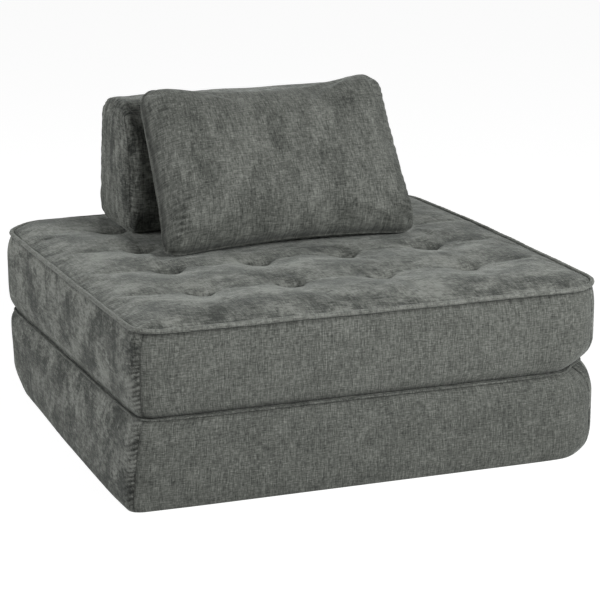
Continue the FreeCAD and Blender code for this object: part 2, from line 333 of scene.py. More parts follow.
def addWeighted(tree, first, *others):
    # sum of sources, each with its weight
    total = addMath(tree, "MULTIPLY", *first)
    for source, weight in others:
        total = addMath(tree, "ADD", total, addMath(tree, "MULTIPLY", source, weight))
    return total


def addSwing(tree, noise, strength):
    # a noise about nought, times its strength
    return addMath(tree, "MULTIPLY", addMath(tree, "SUBTRACT", noise, 0.5), strength)


def addRamp(tree, source, stops):
    ramp = tree.nodes.new("ShaderNodeValToRGB")
    while len(ramp.color_ramp.elements) < len(stops):
        ramp.color_ramp.elements.new(0.5)
    for element, (place, colour) in zip(ramp.color_ramp.elements, stops):
        element.position = place
        element.color = (*colour, 1)
    tree.links.new(source, ramp.inputs[0])
    return ramp.outputs[0]


def addBump(tree, shader, height, strength, distance):
    bump = addNode(tree, "ShaderNodeBump", in_Strength=strength, in_Distance=distance)
    tree.links.new(height, bump.inputs["Height"])
    tree.links.new(bump.outputs[0], shader.inputs["Normal"])


def stretchedNoise(tree, coords, scale, detail=2.0, rough=0.5):
    # noise with its own waves per metre each way
    mapping = tree.nodes.new("ShaderNodeMapping")
    mapping.inputs["Scale"].default_value = scale
    tree.links.new(coords, mapping.inputs["Vector"])
    noise = addNode(tree, "ShaderNodeTexNoise", in_Scale=1.0, in_Detail=detail, in_Roughness=rough)
    tree.links.new(mapping.outputs[0], noise.inputs["Vector"])
    return noise.outputs[0]


chenilleLook = {
    "dark": (0.036, 0.039, 0.035), "mid": (0.122, 0.128, 0.115), "light": (0.270, 0.280, 0.255),
    # the colour that the painted shade multiplies into the cloth
    "seamShadeTone": (0.34, 0.34, 0.34, 1),
    "threadAcross": ((95, 560, 300), 2, 0.6), "threadUp": ((520, 80, 300), 2, 0.6),
    "slubAcross": ((30, 280, 60), 2, 0.5), "slubUp": ((260, 26, 60), 2, 0.5),
    "grain": ((62, 165, 120), 3, 0.65),
    "threadWeight": 0.80, "slubWeight": 0.40, "grainWeight": 0.62,
    "patchRuffled": 1.75, "patchPlain": 0.12, "balance": -0.098,
    "bump": 0.55, "bumpDistance": 0.004,
}
chenilleSheen = {
    "Specular IOR Level": 0.25, "Sheen Weight": 0.35, "Sheen Roughness": 0.42,
    "Sheen Tint": (0.72, 0.76, 0.72, 1),
}


def makeChenille(name, uvName=None, lift=0.0, nap=(11, 11), napSmall=(36, 44)):
    material, tree, shader = freshMaterial(name)
    look = chenilleLook
    coords = tree.nodes.new("ShaderNodeTexCoord").outputs["Object"]
    if uvName:
        coords = addNode(tree, "ShaderNodeUVMap", uv_map=uvName).outputs[0]
    fineAcross, fineUp, slubAcross, slubUp, napGrain = (
        stretchedNoise(tree, coords, *look[key])
        for key in ("threadAcross", "threadUp", "slubAcross", "slubUp", "grain"))
    napTone = stretchedNoise(tree, coords, (*nap, 10), 4, 0.62)
    napFine = stretchedNoise(tree, coords, (*napSmall, 40), 6, 0.74)
    threads = addWeighted(tree, (fineAcross, 0.5), (fineUp, 0.5))
    slubs = addWeighted(tree, (slubUp, 0.6), (slubAcross, 0.4))
    brushed = addWeighted(tree, (napTone, 0.62), (napFine, 0.38))
    # nap mottling and grain, scaled per face and per cover: partly the nap's own patches, partly a painted
    # sheen that is strongest on the sides and top
    ruffledSheen = addNode(tree, "ShaderNodeAttribute", attribute_name="ruffledSheen").outputs["Fac"]
    patch = addSwing(tree, brushed, addLinear(tree, ruffledSheen, look["patchRuffled"], look["patchPlain"]))
    grain = addSwing(tree, napGrain, addMath(tree, "MULTIPLY", ruffledSheen, look["grainWeight"]))
    tone = addWeighted(tree, (threads, look["threadWeight"]), (slubs, look["slubWeight"]))
    brushing = addMath(tree, "ADD", patch, lift + look["balance"])
    tone = addMath(tree, "ADD", addMath(tree, "ADD", tone, grain), brushing)
    colour = addRamp(tree, tone, [(0.34, look["dark"]), (0.5, look["mid"]), (0.68, look["light"])])
    # painted shade: the seamShade attribute multiplies the colour darker in seams, gaps, gathers, puckers
    # and tuft pits
    shadeAmount = addNode(tree, "ShaderNodeAttribute", attribute_name="seamShade")
    shade = addNode(tree, "ShaderNodeMix", data_type="RGBA", blend_type="MULTIPLY")
    tree.links.new(shadeAmount.outputs["Fac"], shade.inputs["Factor"])
    tree.links.new(colour, shade.inputs[6])
    shade.inputs[7].default_value = look["seamShadeTone"]
    tree.links.new(shade.outputs[2], shader.inputs["Base Color"])
    height = addWeighted(tree, (threads, 0.55), (slubs, 0.9), (brushed, 1.6))
    addBump(tree, shader, height, look["bump"], look["bumpDistance"])
    tree.links.new(addLinear(tree, tone, -0.25, 0.95), shader.inputs["Roughness"])
    for key, value in chenilleSheen.items():
        shader.inputs[key].default_value = value
    return material


def makeLining(name):
    # spun lining cloth with small bonded dots
    material, tree, shader = freshMaterial(name)
    coords = addNode(tree, "ShaderNodeUVMap", uv_map="weave").outputs[0]
    dots = addNode(tree, "ShaderNodeTexVoronoi", in_Scale=420.0, in_Randomness=0.15)
    tree.links.new(coords, dots.inputs["Vector"])
    fibre = stretchedNoise(tree, coords, (240, 240, 240), 4, 0.7)
    mixed = addWeighted(tree, (dots.outputs[0], 0.55), (fibre, 0.6))
    colour = addRamp(tree, mixed, [(0.25, (0.012, 0.013, 0.013)), (0.7, (0.035, 0.037, 0.036))])
    tree.links.new(colour, shader.inputs["Base Color"])
    addBump(tree, shader, mixed, strength=0.4, distance=0.0008)
    shader.inputs["Roughness"].default_value = 0.9
    return material


def makeWoven(name, dark, light, scale, roughness):
    # close plain weave for tape, twine and felt
    material, tree, shader = freshMaterial(name)
    coords = tree.nodes.new("ShaderNodeTexCoord").outputs["Object"]
    one = stretchedNoise(tree, coords, (scale, scale / 6, scale), 2, 0.6)
    two = stretchedNoise(tree, coords, (scale / 6, scale, scale / 4), 2, 0.6)
    weave = addWeighted(tree, (one, 0.5), (two, 0.5))
    tree.links.new(addRamp(tree, weave, [(0.35, dark), (0.65, light)]), shader.inputs["Base Color"])
    addBump(tree, shader, weave, strength=0.5, distance=0.0006)
    shader.inputs["Roughness"].default_value = roughness
    return material


def makeZipMetal(name):
    material, tree, shader = freshMaterial(name)
    coords = tree.nodes.new("ShaderNodeTexCoord").outputs["Object"]
    brushed = stretchedNoise(tree, coords, (900, 900, 2600), 3, 0.6)
    wear = stretchedNoise(tree, coords, (260, 260, 260), 4, 0.6)
    colour = addRamp(tree, wear, [(0.3, (0.16, 0.16, 0.165)), (0.7, (0.31, 0.31, 0.315))])
    tree.links.new(colour, shader.inputs["Base Color"])
    tree.links.new(addLinear(tree, brushed, 0.3, 0.2), shader.inputs["Roughness"])
    shader.inputs["Metallic"].default_value = 1.0
    return material


def paint(obj, *materials):
    obj.data.materials.clear()
    for material in materials:
        obj.data.materials.append(material)


addCamera()
chenille = makeChenille("chenille", "weave")
chenilleLoose = makeChenille("chenilleLoose", "weave", nap=(18, 8), napSmall=(62, 26))
# the lower slab's cloth is painted darker, painted shade: it gets less of the light from above than the
# upper slab
chenilleShadedLower = makeChenille("chenilleShadedLower", "weave", lift=-0.022)
# the cord's cloth is painted lighter, a painted highlight where the nap on its top catches the light
chenilleLitCord = makeChenille("chenilleLitCord", lift=0.07)
# the welt's cloth is painted darker, painted shade of the gap between the slabs where it sits
chenilleShadedWelt = makeChenille("chenilleShadedWelt", lift=-0.04)
lining = makeLining("lining")
tapeCloth = makeWoven(
    "tapeCloth", dark=(0.030, 0.033, 0.031), light=(0.085, 0.090, 0.085), scale=900, roughness=0.8)
twineCloth = makeWoven(
    "twineCloth", dark=(0.045, 0.048, 0.045), light=(0.10, 0.105, 0.10), scale=1200, roughness=0.75)
feltCloth = makeWoven(
    "feltCloth", dark=(0.10, 0.10, 0.095), light=(0.20, 0.20, 0.19), scale=500, roughness=0.95)
zipMetal = makeZipMetal("zipMetal")
print("materials made")


# slabs: six cloth panels sewn into a box, rounded, then swelled
tuftGrid = {
    "count": 4, "pitch": 0.183, "shift": 0.015,
    "pull": 0.012, "pullRadius": 0.0150, "crease": 0.0085,
    "creaseWidth": 0.0070, "creaseBow": 9.0, "creaseEnds": (0.014, 0.044),
    "dimple": 0.004, "dimpleRadius": 0.052, "held": 0.007,
    "pitRadius": 0.011,
}
lowerSlab = {
    "half": 0.475, "radius": 0.034, "midRadius": 0.026, "slackRadius": 0.092,
    "low": 0.0, "high": 0.1725, "lowIn": 0.004, "lowRound": 0.022,
    "highIn": 0.009, "highRound": 0.026, "lowCorners": (0.046, 0.012), "highCorners": (0.009, 0.027),
    "flare": 0.018, "sag": 0.0, "backLimit": 0.4745, "zipLevel": 0.084,
    "shift": 0.31, "seed": 3,
}
upperSlab = {
    "half": 0.475, "radius": 0.046, "midRadius": 0.032, "slackRadius": 0.092,
    "low": 0.1735, "high": 0.3345, "lowIn": 0.010, "lowRound": 0.028,
    "highIn": 0.006, "highRound": 0.048, "lowCorners": (0.010, 0.029), "highCorners": (0.008, 0.0),
    "flare": 0.0, "sag": 0.008, "backLimit": 0.4745, "zipLevel": 0.244,
    "crown": 0.0115, "roll": 0.050, "shift": 1.73, "seed": 8,
}
slabSoft = {"fullCorner": 0.003, "cornerRise": 0.055, "cornerReach": 0.075, "sagReach": 0.22}
flareRun = {"reach": 0.45, "rearIn": 0.6, "rearStart": -0.05, "rearEnd": 0.40}
zipBand = {"halfLength": 0.353, "halfWidth": 0.0155, "sunk": 0.0022, "fade": 0.012}
# the shade values below are painted shade that darkens the cloth: in gather valleys, seam grooves, the gap
# between the slabs and a line under the top piping
gather = {"reach": 0.042, "wave": 0.0095, "depth": 0.0042, "slant": 0.30, "slack": 0.2, "shade": 1.9}
slabSeam = {"width": 0.0030, "depth": 0.0016, "shade": 0.7, "gapWidth": 0.0065, "gapShade": 0.85}
underCord = {"below": 0.0055, "width": 0.0045, "shade": 0.7}
ruck = {"width": 0.016, "reach": 0.10, "depth": 0.0011, "turns": 26}
# nap mottling strength per face: weak on the front, strong on the sides and top, a painted sheen for how the
# nap catches the light at those angles
slabNap = {"front": 0.06, "sides": 1.05, "top": 0.78}
pressed = {
    "backrestX": (0.265, 0.30), "backrestFront": (0.165, 0.20), "backrestRear": (0.445, 0.462),
    "pillowX": (0.29, 0.32), "pillowMiddle": 0.022, "pillowFront": (-0.03, 0.0),
    "freeLevel": 0.362, "down": 0.0158,
}
onEdge = 1e-5
onFineEdge = 0.0008


def tuftSteps():
    return (np.arange(tuftGrid["count"]) - (tuftGrid["count"] - 1) / 2) * tuftGrid["pitch"]


def tuftPlaces():
    return [(x, y + tuftGrid["shift"]) for y in tuftSteps() for x in tuftSteps()]


def nearestTuft(x, y):
    return np.min([np.hypot(x - a, y - b) for a, b in tuftPlaces()], axis=0)


def tuftCrease(x, y):
    # 1 along the short curved fold at each tuft
    folds = []
    for a, b in tuftPlaces():
        across, off = x - a, y - b - tuftGrid["creaseBow"] * (x - a) ** 2
        ends = 1 - step(*tuftGrid["creaseEnds"], np.abs(across))
        folds.append(hill(off, tuftGrid["creaseWidth"]) * ends)
    return np.max(folds, axis=0)


def fromCorner(slab, x, y):
    return np.hypot(slab["half"] - np.abs(x), slab["half"] - np.abs(y))


def riseShare(slab, z):
    # 0 at the slab's low edge, 1 at its high edge
    return (z - slab["low"]) / (slab["high"] - slab["low"])


def slabInset(slab, x, y, z):
    # how far the cover is drawn in at its two edges and their corners
    drawn, soft = 0, 0
    for edge, off in (("low", z - slab["low"]), ("high", slab["high"] - z)):
        drawn = drawn + slab[edge + "In"] * np.clip(1 - off / slab[edge + "Round"], 0, 1) ** 2.2
        slack = np.where(x * y > 0, slabSoft["fullCorner"], np.where(y > 0, *slab[edge + "Corners"]))
        soft = soft + slack * np.clip(1 - off / slabSoft["cornerRise"], 0, 1) ** 2
    return drawn + soft * hill(fromCorner(slab, x, y), slabSoft["cornerReach"])


def slabSag(slab, x, y, z):
    # how far the rear right corner of the top has sunk
    away = np.hypot(slab["half"] - x, slab["half"] - y)
    return slab["sag"] * hill(away, slabSoft["sagReach"]) * riseShare(slab, z) ** 3


def slabRadius(slab, x, y, z):
    # plan radius of the corners: two full, two slack, wider at the top cord
    side = np.where(x * y > 0, slab["midRadius"], slab["slackRadius"])
    return side + np.maximum(slab["radius"] - side, 0) * step(0.55, 1.0, riseShare(slab, z))


def layOutSlab(name, slab, cells, rows, crowded):
    half = slab["half"]
    run = spread(cells, half, crowded + [-half, half], 0.045, 1.6)
    rise = np.linspace(slab["low"], slab["high"], rows + 1)
    return sewBox(name, run, run, rise, (slab["shift"], slab["shift"]))


def tapeShare(run, halfRun, rise, fadeUp):
    # 1 where a zip tape lies, fading to 0 round it
    alongZip = 1 - step(halfRun, halfRun + zipBand["fade"], np.abs(run))
    upZip = 1 - step(zipBand["halfWidth"], zipBand["halfWidth"] + fadeUp, np.abs(rise))
    return alongZip * upZip


def zipShare(slab, layout):
    # the zip tape's place on the right side
    rise = layout[:, 2] - slab["zipLevel"]
    share = tapeShare(layout[:, 1], zipBand["halfLength"], rise, zipBand["fade"])
    return share * (layout[:, 0] > slab["half"] - 1e-4)


def shapeSlab(cover, slab):
    layout = readPoints(cover)
    keepLayout(cover, layout)
    x, y, z = layout.T
    half = slab["half"]
    points = layout.copy()
    inset, radius = slabInset(slab, x, y, z), slabRadius(slab, x, y, z)
    points[:, 0], points[:, 1] = roundPlan(x, y, half, half, radius, inset)
    points[:, 0] -= zipBand["sunk"] * zipShare(slab, layout)
    points[:, 2] -= slabSag(slab, x, y, z)
    toFront = hill(y + half, flareRun["reach"])
    toRear = flareRun["rearIn"] * step(flareRun["rearStart"], flareRun["rearEnd"], y)
    lean = np.clip(-x / half, 0, 1) ** 2 * (toFront - toRear)
    points[:, 0] -= slab["flare"] * lean * (1 - riseShare(slab, z))
    if "crown" in slab:
        onTop = z > slab["high"] - onEdge
        points[onTop, 2] += topRise(slab, layout[onTop], points[onTop, 0], points[onTop, 1])
    writePoints(cover, points)
    return layout


def topRise(slab, layout, x, y):
    # the tufted top's crown, drawn down at each tuft
    edge = insideBy(x, y, slab["half"] - slab["highIn"], slab["radius"])
    edge = np.minimum(edge, slab["half"] - np.max(np.abs(layout[:, :2]), axis=1))
    rise = slab["crown"] * (1 - (1 - np.clip(edge / slab["roll"], 0, 1)) ** 2.2)
    away = nearestTuft(x, y)
    rise -= tuftGrid["dimple"] * hill(away, tuftGrid["dimpleRadius"])
    rise -= tuftGrid["pull"] * hill(away, tuftGrid["pullRadius"])
    return rise - tuftGrid["crease"] * tuftCrease(x, y)


def slabPins(slab, layout, points):
    onX, onY = (np.abs(layout[:, axis]) > slab["half"] - onEdge for axis in (0, 1))
    onTop = layout[:, 2] > slab["high"] - onEdge
    onUnder = layout[:, 2] < slab["low"] + onEdge
    pinned = (onX & onY) | onUnder | (zipShare(slab, layout) > 0.02)
    if "crown" in slab:
        pinned |= onTop & (onX | onY)
        pinned |= onTop & (nearestTuft(points[:, 0], points[:, 1]) < tuftGrid["held"])
    else:
        pinned |= onTop
    return pinned


def betweenEdges(slab, z, start, full):
    # 0 at the slab's low and high edges, 1 further in
    return step(start, full, z - slab["low"]) * step(start, full, slab["high"] - z)


def gatherFolds(slab, layout, offSeam, onX):
    # gathers beside the corner seams: their strength, and how deep in a valley
    x, y, z = layout.T
    phase = 2 * math.pi * (z + gather["slant"] * offSeam) / gather["wave"]
    phase += 4.5 * drift(np.stack([z, np.sign(x) * 3 + np.sign(y)], axis=1), 0.045, slab["seed"])
    valley = (0.5 + 0.5 * np.sin(phase)) ** 2.4
    seams = np.stack([z, np.sign(x) + np.sign(y) * 5], axis=1)
    strength = np.clip(0.7 + 0.45 * drift(seams, 0.06, slab["seed"] + 1), 0.15, 1.3)
    fold = np.exp(-(offSeam / gather["reach"]) ** 1.6) * step(0.0, 0.003, offSeam)
    fold = fold * betweenEdges(slab, z, 0.004, 0.020) * onX * strength
    return fold * np.where(x * y > 0, 1.0, gather["slack"]), valley


def dressTop(slab, layout, points):
    # the tufted top's unevenness, pits, and rucks at its corners, with painted shade in its tuft pits and
    # creases
    half, seed = slab["half"], slab["seed"]
    x, y, z = layout.T
    onTop = z > slab["high"] - onFineEdge
    edge = insideBy(points[:, 0], points[:, 1], half - slab["highIn"], slab["radius"])
    around = np.arctan2(half - np.abs(y), half - np.abs(x))
    rucked = hill(edge, ruck["width"]) * hill(fromCorner(slab, x, y), ruck["reach"]) * onTop
    move = 0.0005 * onTop * step(0.0, 0.03, edge) * drift(layout[:, :2], 0.07, seed + 3)
    move += ruck["depth"] * rucked * np.sin(around * ruck["turns"] + seed)
    pit = hill(nearestTuft(points[:, 0], points[:, 1]), tuftGrid["pitRadius"])
    shade = onTop * np.maximum(0.5 * pit, 0.9 * tuftCrease(points[:, 0], points[:, 1]))
    return move, shade


def dressSlab(cover, slab):
    # gathers, seam grooves and a little unevenness, on the fine mesh, with painted shade in the gather
    # valleys, the grooves, the gap between the slabs and under the top piping
    layout, points, normals = readCover(cover)
    half = slab["half"]
    x, y, z = layout.T
    onX, onY = np.abs(x) > half - onFineEdge, np.abs(y) > half - onFineEdge
    onSide = onX | onY
    offSeam = np.where(onX, half - np.abs(y), half - np.abs(x))
    fold, valley = gatherFolds(slab, layout, offSeam, onX)
    groove = hill(offSeam, slabSeam["width"]) * onSide * betweenEdges(slab, z, 0.0, 0.006)
    free = onSide * betweenEdges(slab, z, 0.0, 0.02) * (1 - zipShare(slab, layout))
    move = gather["depth"] * (0.25 - valley) * fold - slabSeam["depth"] * groove
    move += 0.0011 * free * drift(layout * (1, 1, 0.6), 0.16, slab["seed"] + 2)
    shade = gather["shade"] * valley * fold + slabSeam["shade"] * groove
    fromGap = z - (slab["low"] if "crown" in slab else slab["high"])
    shade += onSide * slabSeam["gapShade"] * hill(fromGap, slabSeam["gapWidth"])
    if "crown" in slab:
        fromHigh = slab["high"] - z
        shade += onSide * underCord["shade"] * hill(fromHigh - underCord["below"], underCord["width"])
        topMove, topShade = dressTop(slab, layout, points)
        move, shade = move + topMove, shade + topShade
    points = points + normals * move[:, None]
    points[:, 1] = np.minimum(points[:, 1], slab["backLimit"])
    writePoints(cover, points)
    nap = np.where(onSide, slabNap["sides"], slabNap["top"])
    keepTones(cover, shade, np.where(onY & (y < 0), slabNap["front"], nap))


def pressTop(cover):
    # the backrest and the pillow's foot press the top flat where they stand
    points = readPoints(cover)
    x, y = points[:, 0], points[:, 1]
    stand = (1 - step(*pressed["backrestX"], np.abs(x))) * step(*pressed["backrestFront"], y)
    stand = stand * (1 - step(*pressed["backrestRear"], y))
    foot = 1 - step(*pressed["pillowX"], np.abs(x - pressed["pillowMiddle"]))
    foot = foot * step(*pressed["pillowFront"], y)
    limit = pressed["freeLevel"] - pressed["down"] * np.maximum(stand, foot)
    points[:, 2] = np.minimum(points[:, 2], limit)
    writePoints(cover, points)


def paintUnder(cover, slab):
    # the base is lining cloth; the rest gets the lower slab's cloth, painted darker as shade
    paint(cover, chenilleShadedLower, lining)
    faces = cover.data.polygons
    down = readRows(faces, "normal")[:, 2] < -0.9
    low = readRows(faces, "center")[:, 2] < slab["low"] + 0.001
    faces.foreach_set("material_index", (down & low).astype(np.int32))


lowerCover = layOutSlab("lowerCover", lowerSlab, cells=84, rows=44, crowded=[])
layout = shapeSlab(lowerCover, lowerSlab)
pins = slabPins(lowerSlab, layout, readPoints(lowerCover))
puff(lowerCover, pins, pressure=3.0, grow=0.001, frames=10, cap=0.002)
finishCover(lowerCover)
dressSlab(lowerCover, lowerSlab)
paintUnder(lowerCover, lowerSlab)
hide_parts("lower_foam_core", "lower_base_panel", "lower_top_panel", "lower_front_boxing",
            "lower_back_boxing", "lower_left_boxing", "lower_right_boxing")
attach(lowerCover, "lower_section")
print("lower slab covered")

tuftLines = [place + move for place in tuftSteps() for move in (0, tuftGrid["shift"])]
upperCover = layOutSlab("upperCover", upperSlab, cells=120, rows=44, crowded=tuftLines)
layout = shapeSlab(upperCover, upperSlab)
onTop = layout[:, 2] > upperSlab["high"] - onEdge
pins = slabPins(upperSlab, layout, readPoints(upperCover))
cap = np.where(onTop, 0.012, 0.002)
puff(upperCover, pins, pressure=3.2, grow=0.005, frames=14, cap=cap, bend=4.0, taut=~onTop)
finishCover(upperCover)
pressTop(upperCover)
dressSlab(upperCover, upperSlab)
paint(upperCover, chenille)
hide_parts("upper_foam_core", "upper_top_panel", "upper_under_panel", "upper_front_boxing",
            "upper_back_boxing", "upper_left_boxing", "upper_right_boxing")
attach(upperCover, "upper_section")
print("upper slab covered")


# cords sewn into the slab edges
piping = {"radius": 0.0047, "level": 0.3352, "out": 0.0020, "wobble": 0.0007, "points": 260, "seed": 5}
welt = {"radius": 0.0021, "level": 0.1702, "out": 0.0016, "wobble": 0.0005, "points": 260, "seed": 15}


def edgeLoop(slab, cord):
    half, count = slab["half"], cord["points"]
    turn = np.linspace(0, 8 * half, count, endpoint=False)
    part, run = (turn // (2 * half)).astype(int), turn % (2 * half) - half
    x = np.choose(part, [run, half + 0 * run, -run, -half + 0 * run])
    y = np.choose(part, [-half + 0 * run, run, half + 0 * run, -run])
    z = np.full(count, cord["level"])
    inset = slabInset(slab, x, y, z) - cord["out"]
    px, py = roundPlan(x, y, half, half, slabRadius(slab, x, y, z), inset)
    loop = np.stack([px, py, z], axis=1)
    loop[:, 2] += cord["wobble"] * drift(loop[:, :2], 0.13, cord["seed"]) - slabSag(slab, x, y, z)
    return loop


def addCordLoop(name, slab, cord):
    loop = edgeLoop(slab, cord)
    line = bpy.data.curves.new(name, "CURVE")
    line.dimensions = "3D"
    line.bevel_depth = cord["radius"]
    line.bevel_resolution = 3
    spline = line.splines.new("NURBS")
    spline.points.add(len(loop) - 1)
    spline.points.foreach_set("co", np.column_stack([loop, np.ones(len(loop))]).ravel())
    spline.use_cyclic_u = True
    spline.order_u = 4
    spline.resolution_u = 3
    obj = linkObject(name, line)
    bpy.ops.object.convert(target="MESH")
    points, normals = readPoints(obj), readNormals(obj)
    uneven = 0.07 * cord["radius"] * drift(points, 0.011, cord["seed"] + 1)
    writePoints(obj, points + normals * uneven[:, None])
    bpy.ops.object.shade_smooth()
    return obj


topPiping = addCordLoop("topPiping", upperSlab, piping)
paint(topPiping, chenilleLitCord)
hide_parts("upper_top_piping")
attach(topPiping, "upper_section")

lowerWelt = addCordLoop("lowerWelt", lowerSlab, welt)
paint(lowerWelt, chenilleShadedWelt)
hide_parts("lower_top_welt")
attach(lowerWelt, "lower_section")
print("piping and welt sewn in")


# backrest block
backrestBlock = {
    "halfLength": 0.260, "low": 0.3465, "high": 0.6045, "middleY": 0.3260,
    "halfBase": 0.1125, "halfTop": 0.0820, "halfCloth": 0.10, "bow": 0.006,
    "topLift": 0.006, "round": 0.038, "endIn": 0.008, "endRound": 0.015,
    "endBow": 0.003, "zipLevel": 0.4165, "zipHalf": 0.203, "zipFade": 0.0115,
    "nap": 0.85,
}
halfRise = (backrestBlock["high"] - backrestBlock["low"]) / 2
midLevel = (backrestBlock["high"] + backrestBlock["low"]) / 2


def layOutBackrest(block):
    half, d = block["halfLength"], block["halfCloth"]
    across = spread(78, half, [-half, half], 0.03, 1.6)
    deep = spread(34, 1.0, [-1, 1], 0.25, 1.0) * d
    tall = spread(44, halfRise, [-halfRise, halfRise], 0.035, 1.0)
    return sewBox("backrestCover", across, deep, tall, (20, 0.4), d)


def backrestDepth(block, upShare):
    # half depth of the block at a height, bowed a little
    straight = block["halfBase"] + (block["halfTop"] - block["halfBase"]) * upShare
    return straight + block["bow"] * (1 - (2 * upShare - 1) ** 2)


def backZipShare(block, layout):
    rise = layout[:, 2] - (block["zipLevel"] - midLevel)
    share = tapeShare(layout[:, 0], block["zipHalf"], rise, block["zipFade"])
    return share * (layout[:, 1] > 1 - 1e-3)


def shapeBackrest(cover, block):
    layout = readPoints(cover)
    keepLayout(cover, layout)
    half = block["halfLength"]
    mean = (block["halfBase"] + block["halfTop"]) / 2
    inset = block["endIn"] * np.clip(1 - (half - np.abs(layout[:, 0])) / block["endRound"], 0, 1) ** 2.2
    deep, tall = roundPlan(layout[:, 1] * mean, layout[:, 2], mean, halfRise, block["round"], inset)
    upShare = np.clip(tall / (2 * halfRise) + 0.5, 0, 1)
    depth = backrestDepth(block, upShare)
    points = layout.copy()
    points[:, 1] = block["middleY"] + deep * depth / mean - zipBand["sunk"] * backZipShare(block, layout)
    crest = block["topLift"] - block["bow"] * np.clip(deep / mean, -1, 1) ** 2
    points[:, 2] = midLevel + tall + crest * step(0.3, 1.0, upShare)
    ending = np.abs(layout[:, 0]) > half - onEdge
    swell = (1 - layout[:, 1] ** 2) * (1 - (layout[:, 2] / halfRise) ** 2)
    points[:, 0] += np.sign(layout[:, 0]) * ending * block["endBow"] * swell
    writePoints(cover, points)
    return layout


def backrestPins(block, layout):
    ending = np.abs(layout[:, 0]) > block["halfLength"] - onEdge
    onFace = np.abs(layout[:, 1]) > 1 - onEdge
    onLevel = np.abs(np.abs(layout[:, 2]) - halfRise) < onEdge
    based = layout[:, 2] < onEdge - halfRise
    return (ending & (onFace | onLevel)) | based | (backZipShare(block, layout) > 0.02)


def dressBackrest(cover, block):
    # seam grooves, puckers beside them and a little unevenness, with painted shade in the grooves and pucker
    # valleys
    layout, points, normals = readCover(cover)
    x, y, z = layout.T
    offEnd = block["halfLength"] - np.abs(x)
    offRim = np.minimum((1 - np.abs(y)) * block["halfCloth"], halfRise - np.abs(z))
    offSeam = np.where(offEnd < 0.0006, offRim, offEnd)
    seen = z >= 0.0005 - halfRise
    zipFree = 1 - backZipShare(block, layout)
    groove = hill(offSeam, 0.0028) * seen
    around = np.where(np.abs(y) > 1 - 1e-3, z, y * block["halfCloth"])
    pucker = hill(offSeam, 0.020) * step(0.0, 0.004, offSeam) * seen * zipFree
    ripple = np.sin(around * 2 * math.pi / 0.021 + 2 * drift(points, 0.09, 41))
    move = -0.0014 * groove + 0.0007 * pucker * ripple
    move += 0.0012 * drift(points, 0.13, 43) * seen * zipFree * step(0.0, 0.02, offSeam)
    writePoints(cover, points + normals * move[:, None])
    keepTones(cover, 0.6 * groove + 0.15 * pucker * (ripple < -0.3), block["nap"])


backrestCover = layOutBackrest(backrestBlock)
layout = shapeBackrest(backrestCover, backrestBlock)
pins = backrestPins(backrestBlock, layout)
puff(backrestCover, pins, pressure=3.5, grow=0.012, frames=14, cap=0.006)
finishCover(backrestCover)
dressBackrest(backrestCover, backrestBlock)
paint(backrestCover, chenilleLoose)
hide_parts("backrest_foam_core", "backrest_wrap_panel", "backrest_base_panel",
            "backrest_left_end", "backrest_right_end")
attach(backrestCover, "backrest")
print("backrest covered")


# pillow: two panels sewn at a knife edge, swelled, leant on the backrest
pillow = {
    "halfWidth": 0.278, "halfHeight": 0.184, "thick": 0.152, "corner": 0.048,
    "drawSide": 0.006, "drawTop": 0.025, "drawFoot": 0.017, "slip": (0.003, 0.009, 0.014),
    "ear": 0.001, "rightIn": 0.005, "lip": 0.0036, "lipThick": 0.0030,
    "place": (0, 0, -0.003), "lean": 34, "turn": -3, "floor": 0.3468,
    "clear": 0.0035, "nap": 0.28,
}


def layOutPillow():
    a, b = pillow["halfWidth"], pillow["halfHeight"]
    across = spread(92, a, [-a, a], 0.04, 1.4)
    along = spread(66, b, [-b, b], 0.04, 1.4)

    def lay(p, q):
        # the panels part by a hair off the seam line
        return p, side * 1e-3 * (np.abs(p) < a - 1e-6) * (np.abs(q) < b - 1e-6), q

    panels = []
    for side, weave in ((-1, 40), (1, 42)):
        panels.append(addPanel("panel", across, along, lay, (weave, 0.7)))
    return sewPanels("pillowCover", panels)


def pillowOff(p, q):
    # distance in from the side seams and the end seams
    return pillow["halfWidth"] - np.abs(p), pillow["halfHeight"] - np.abs(q)


def pillowDepth(p, q):
    # half thickness over the flat pattern
    a, b, seam = pillow["halfWidth"], pillow["halfHeight"], pillow["lip"]
    offP, offQ = pillowOff(p, q)
    u = np.clip(1 - (offP - seam) / (a - seam), 0, 1)
    v = np.clip(1 - (offQ - seam) / (b - seam), 0, 1)
    body = (1 - u ** 7.5) ** 0.50 * (1 - v ** 5.0) ** 0.50
    lip = pillow["lipThick"] / 2 * step(0.0, 0.001, np.minimum(offP, offQ))
    return np.maximum(pillow["thick"] / 2 * body, lip)


def shapePillow(cover):
    layout = readPoints(cover)
    keepLayout(cover, layout)
    a, b = pillow["halfWidth"], pillow["halfHeight"]
    p, q = layout[:, 0], layout[:, 2]
    u, v = p / a, q / b
    newP, newQ = roundPlan(p, q, a, b, pillow["corner"], 0 * p)
    newP -= np.sign(p) * pillow["drawSide"] * (1 - v ** 2) * np.abs(u) ** 3
    ends = step(0.30, 0.96, np.abs(u))
    top = pillow["drawTop"] * (1 - ends) - pillow["ear"] * ends
    draw = np.where(q > 0, top, -pillow["drawFoot"] * (1 - u ** 2))
    newQ -= draw * np.abs(v) ** 3
    even, tilt, foot = pillow["slip"]
    newP += (even + tilt * v - foot * np.clip(-v, 0, 1) ** 3) * np.clip(-u, 0, 1) ** 2
    newP -= pillow["rightIn"] * (1 - v ** 2) * np.clip(u, 0, 1) ** 2
    depth = np.sign(layout[:, 1]) * pillowDepth(p, q)
    writePoints(cover, np.stack([newP, depth, newQ], axis=1))
    return layout


def turned(a, b, degrees):
    angle = math.radians(degrees)
    return a * math.cos(angle) + b * math.sin(angle), -a * math.sin(angle) + b * math.cos(angle)


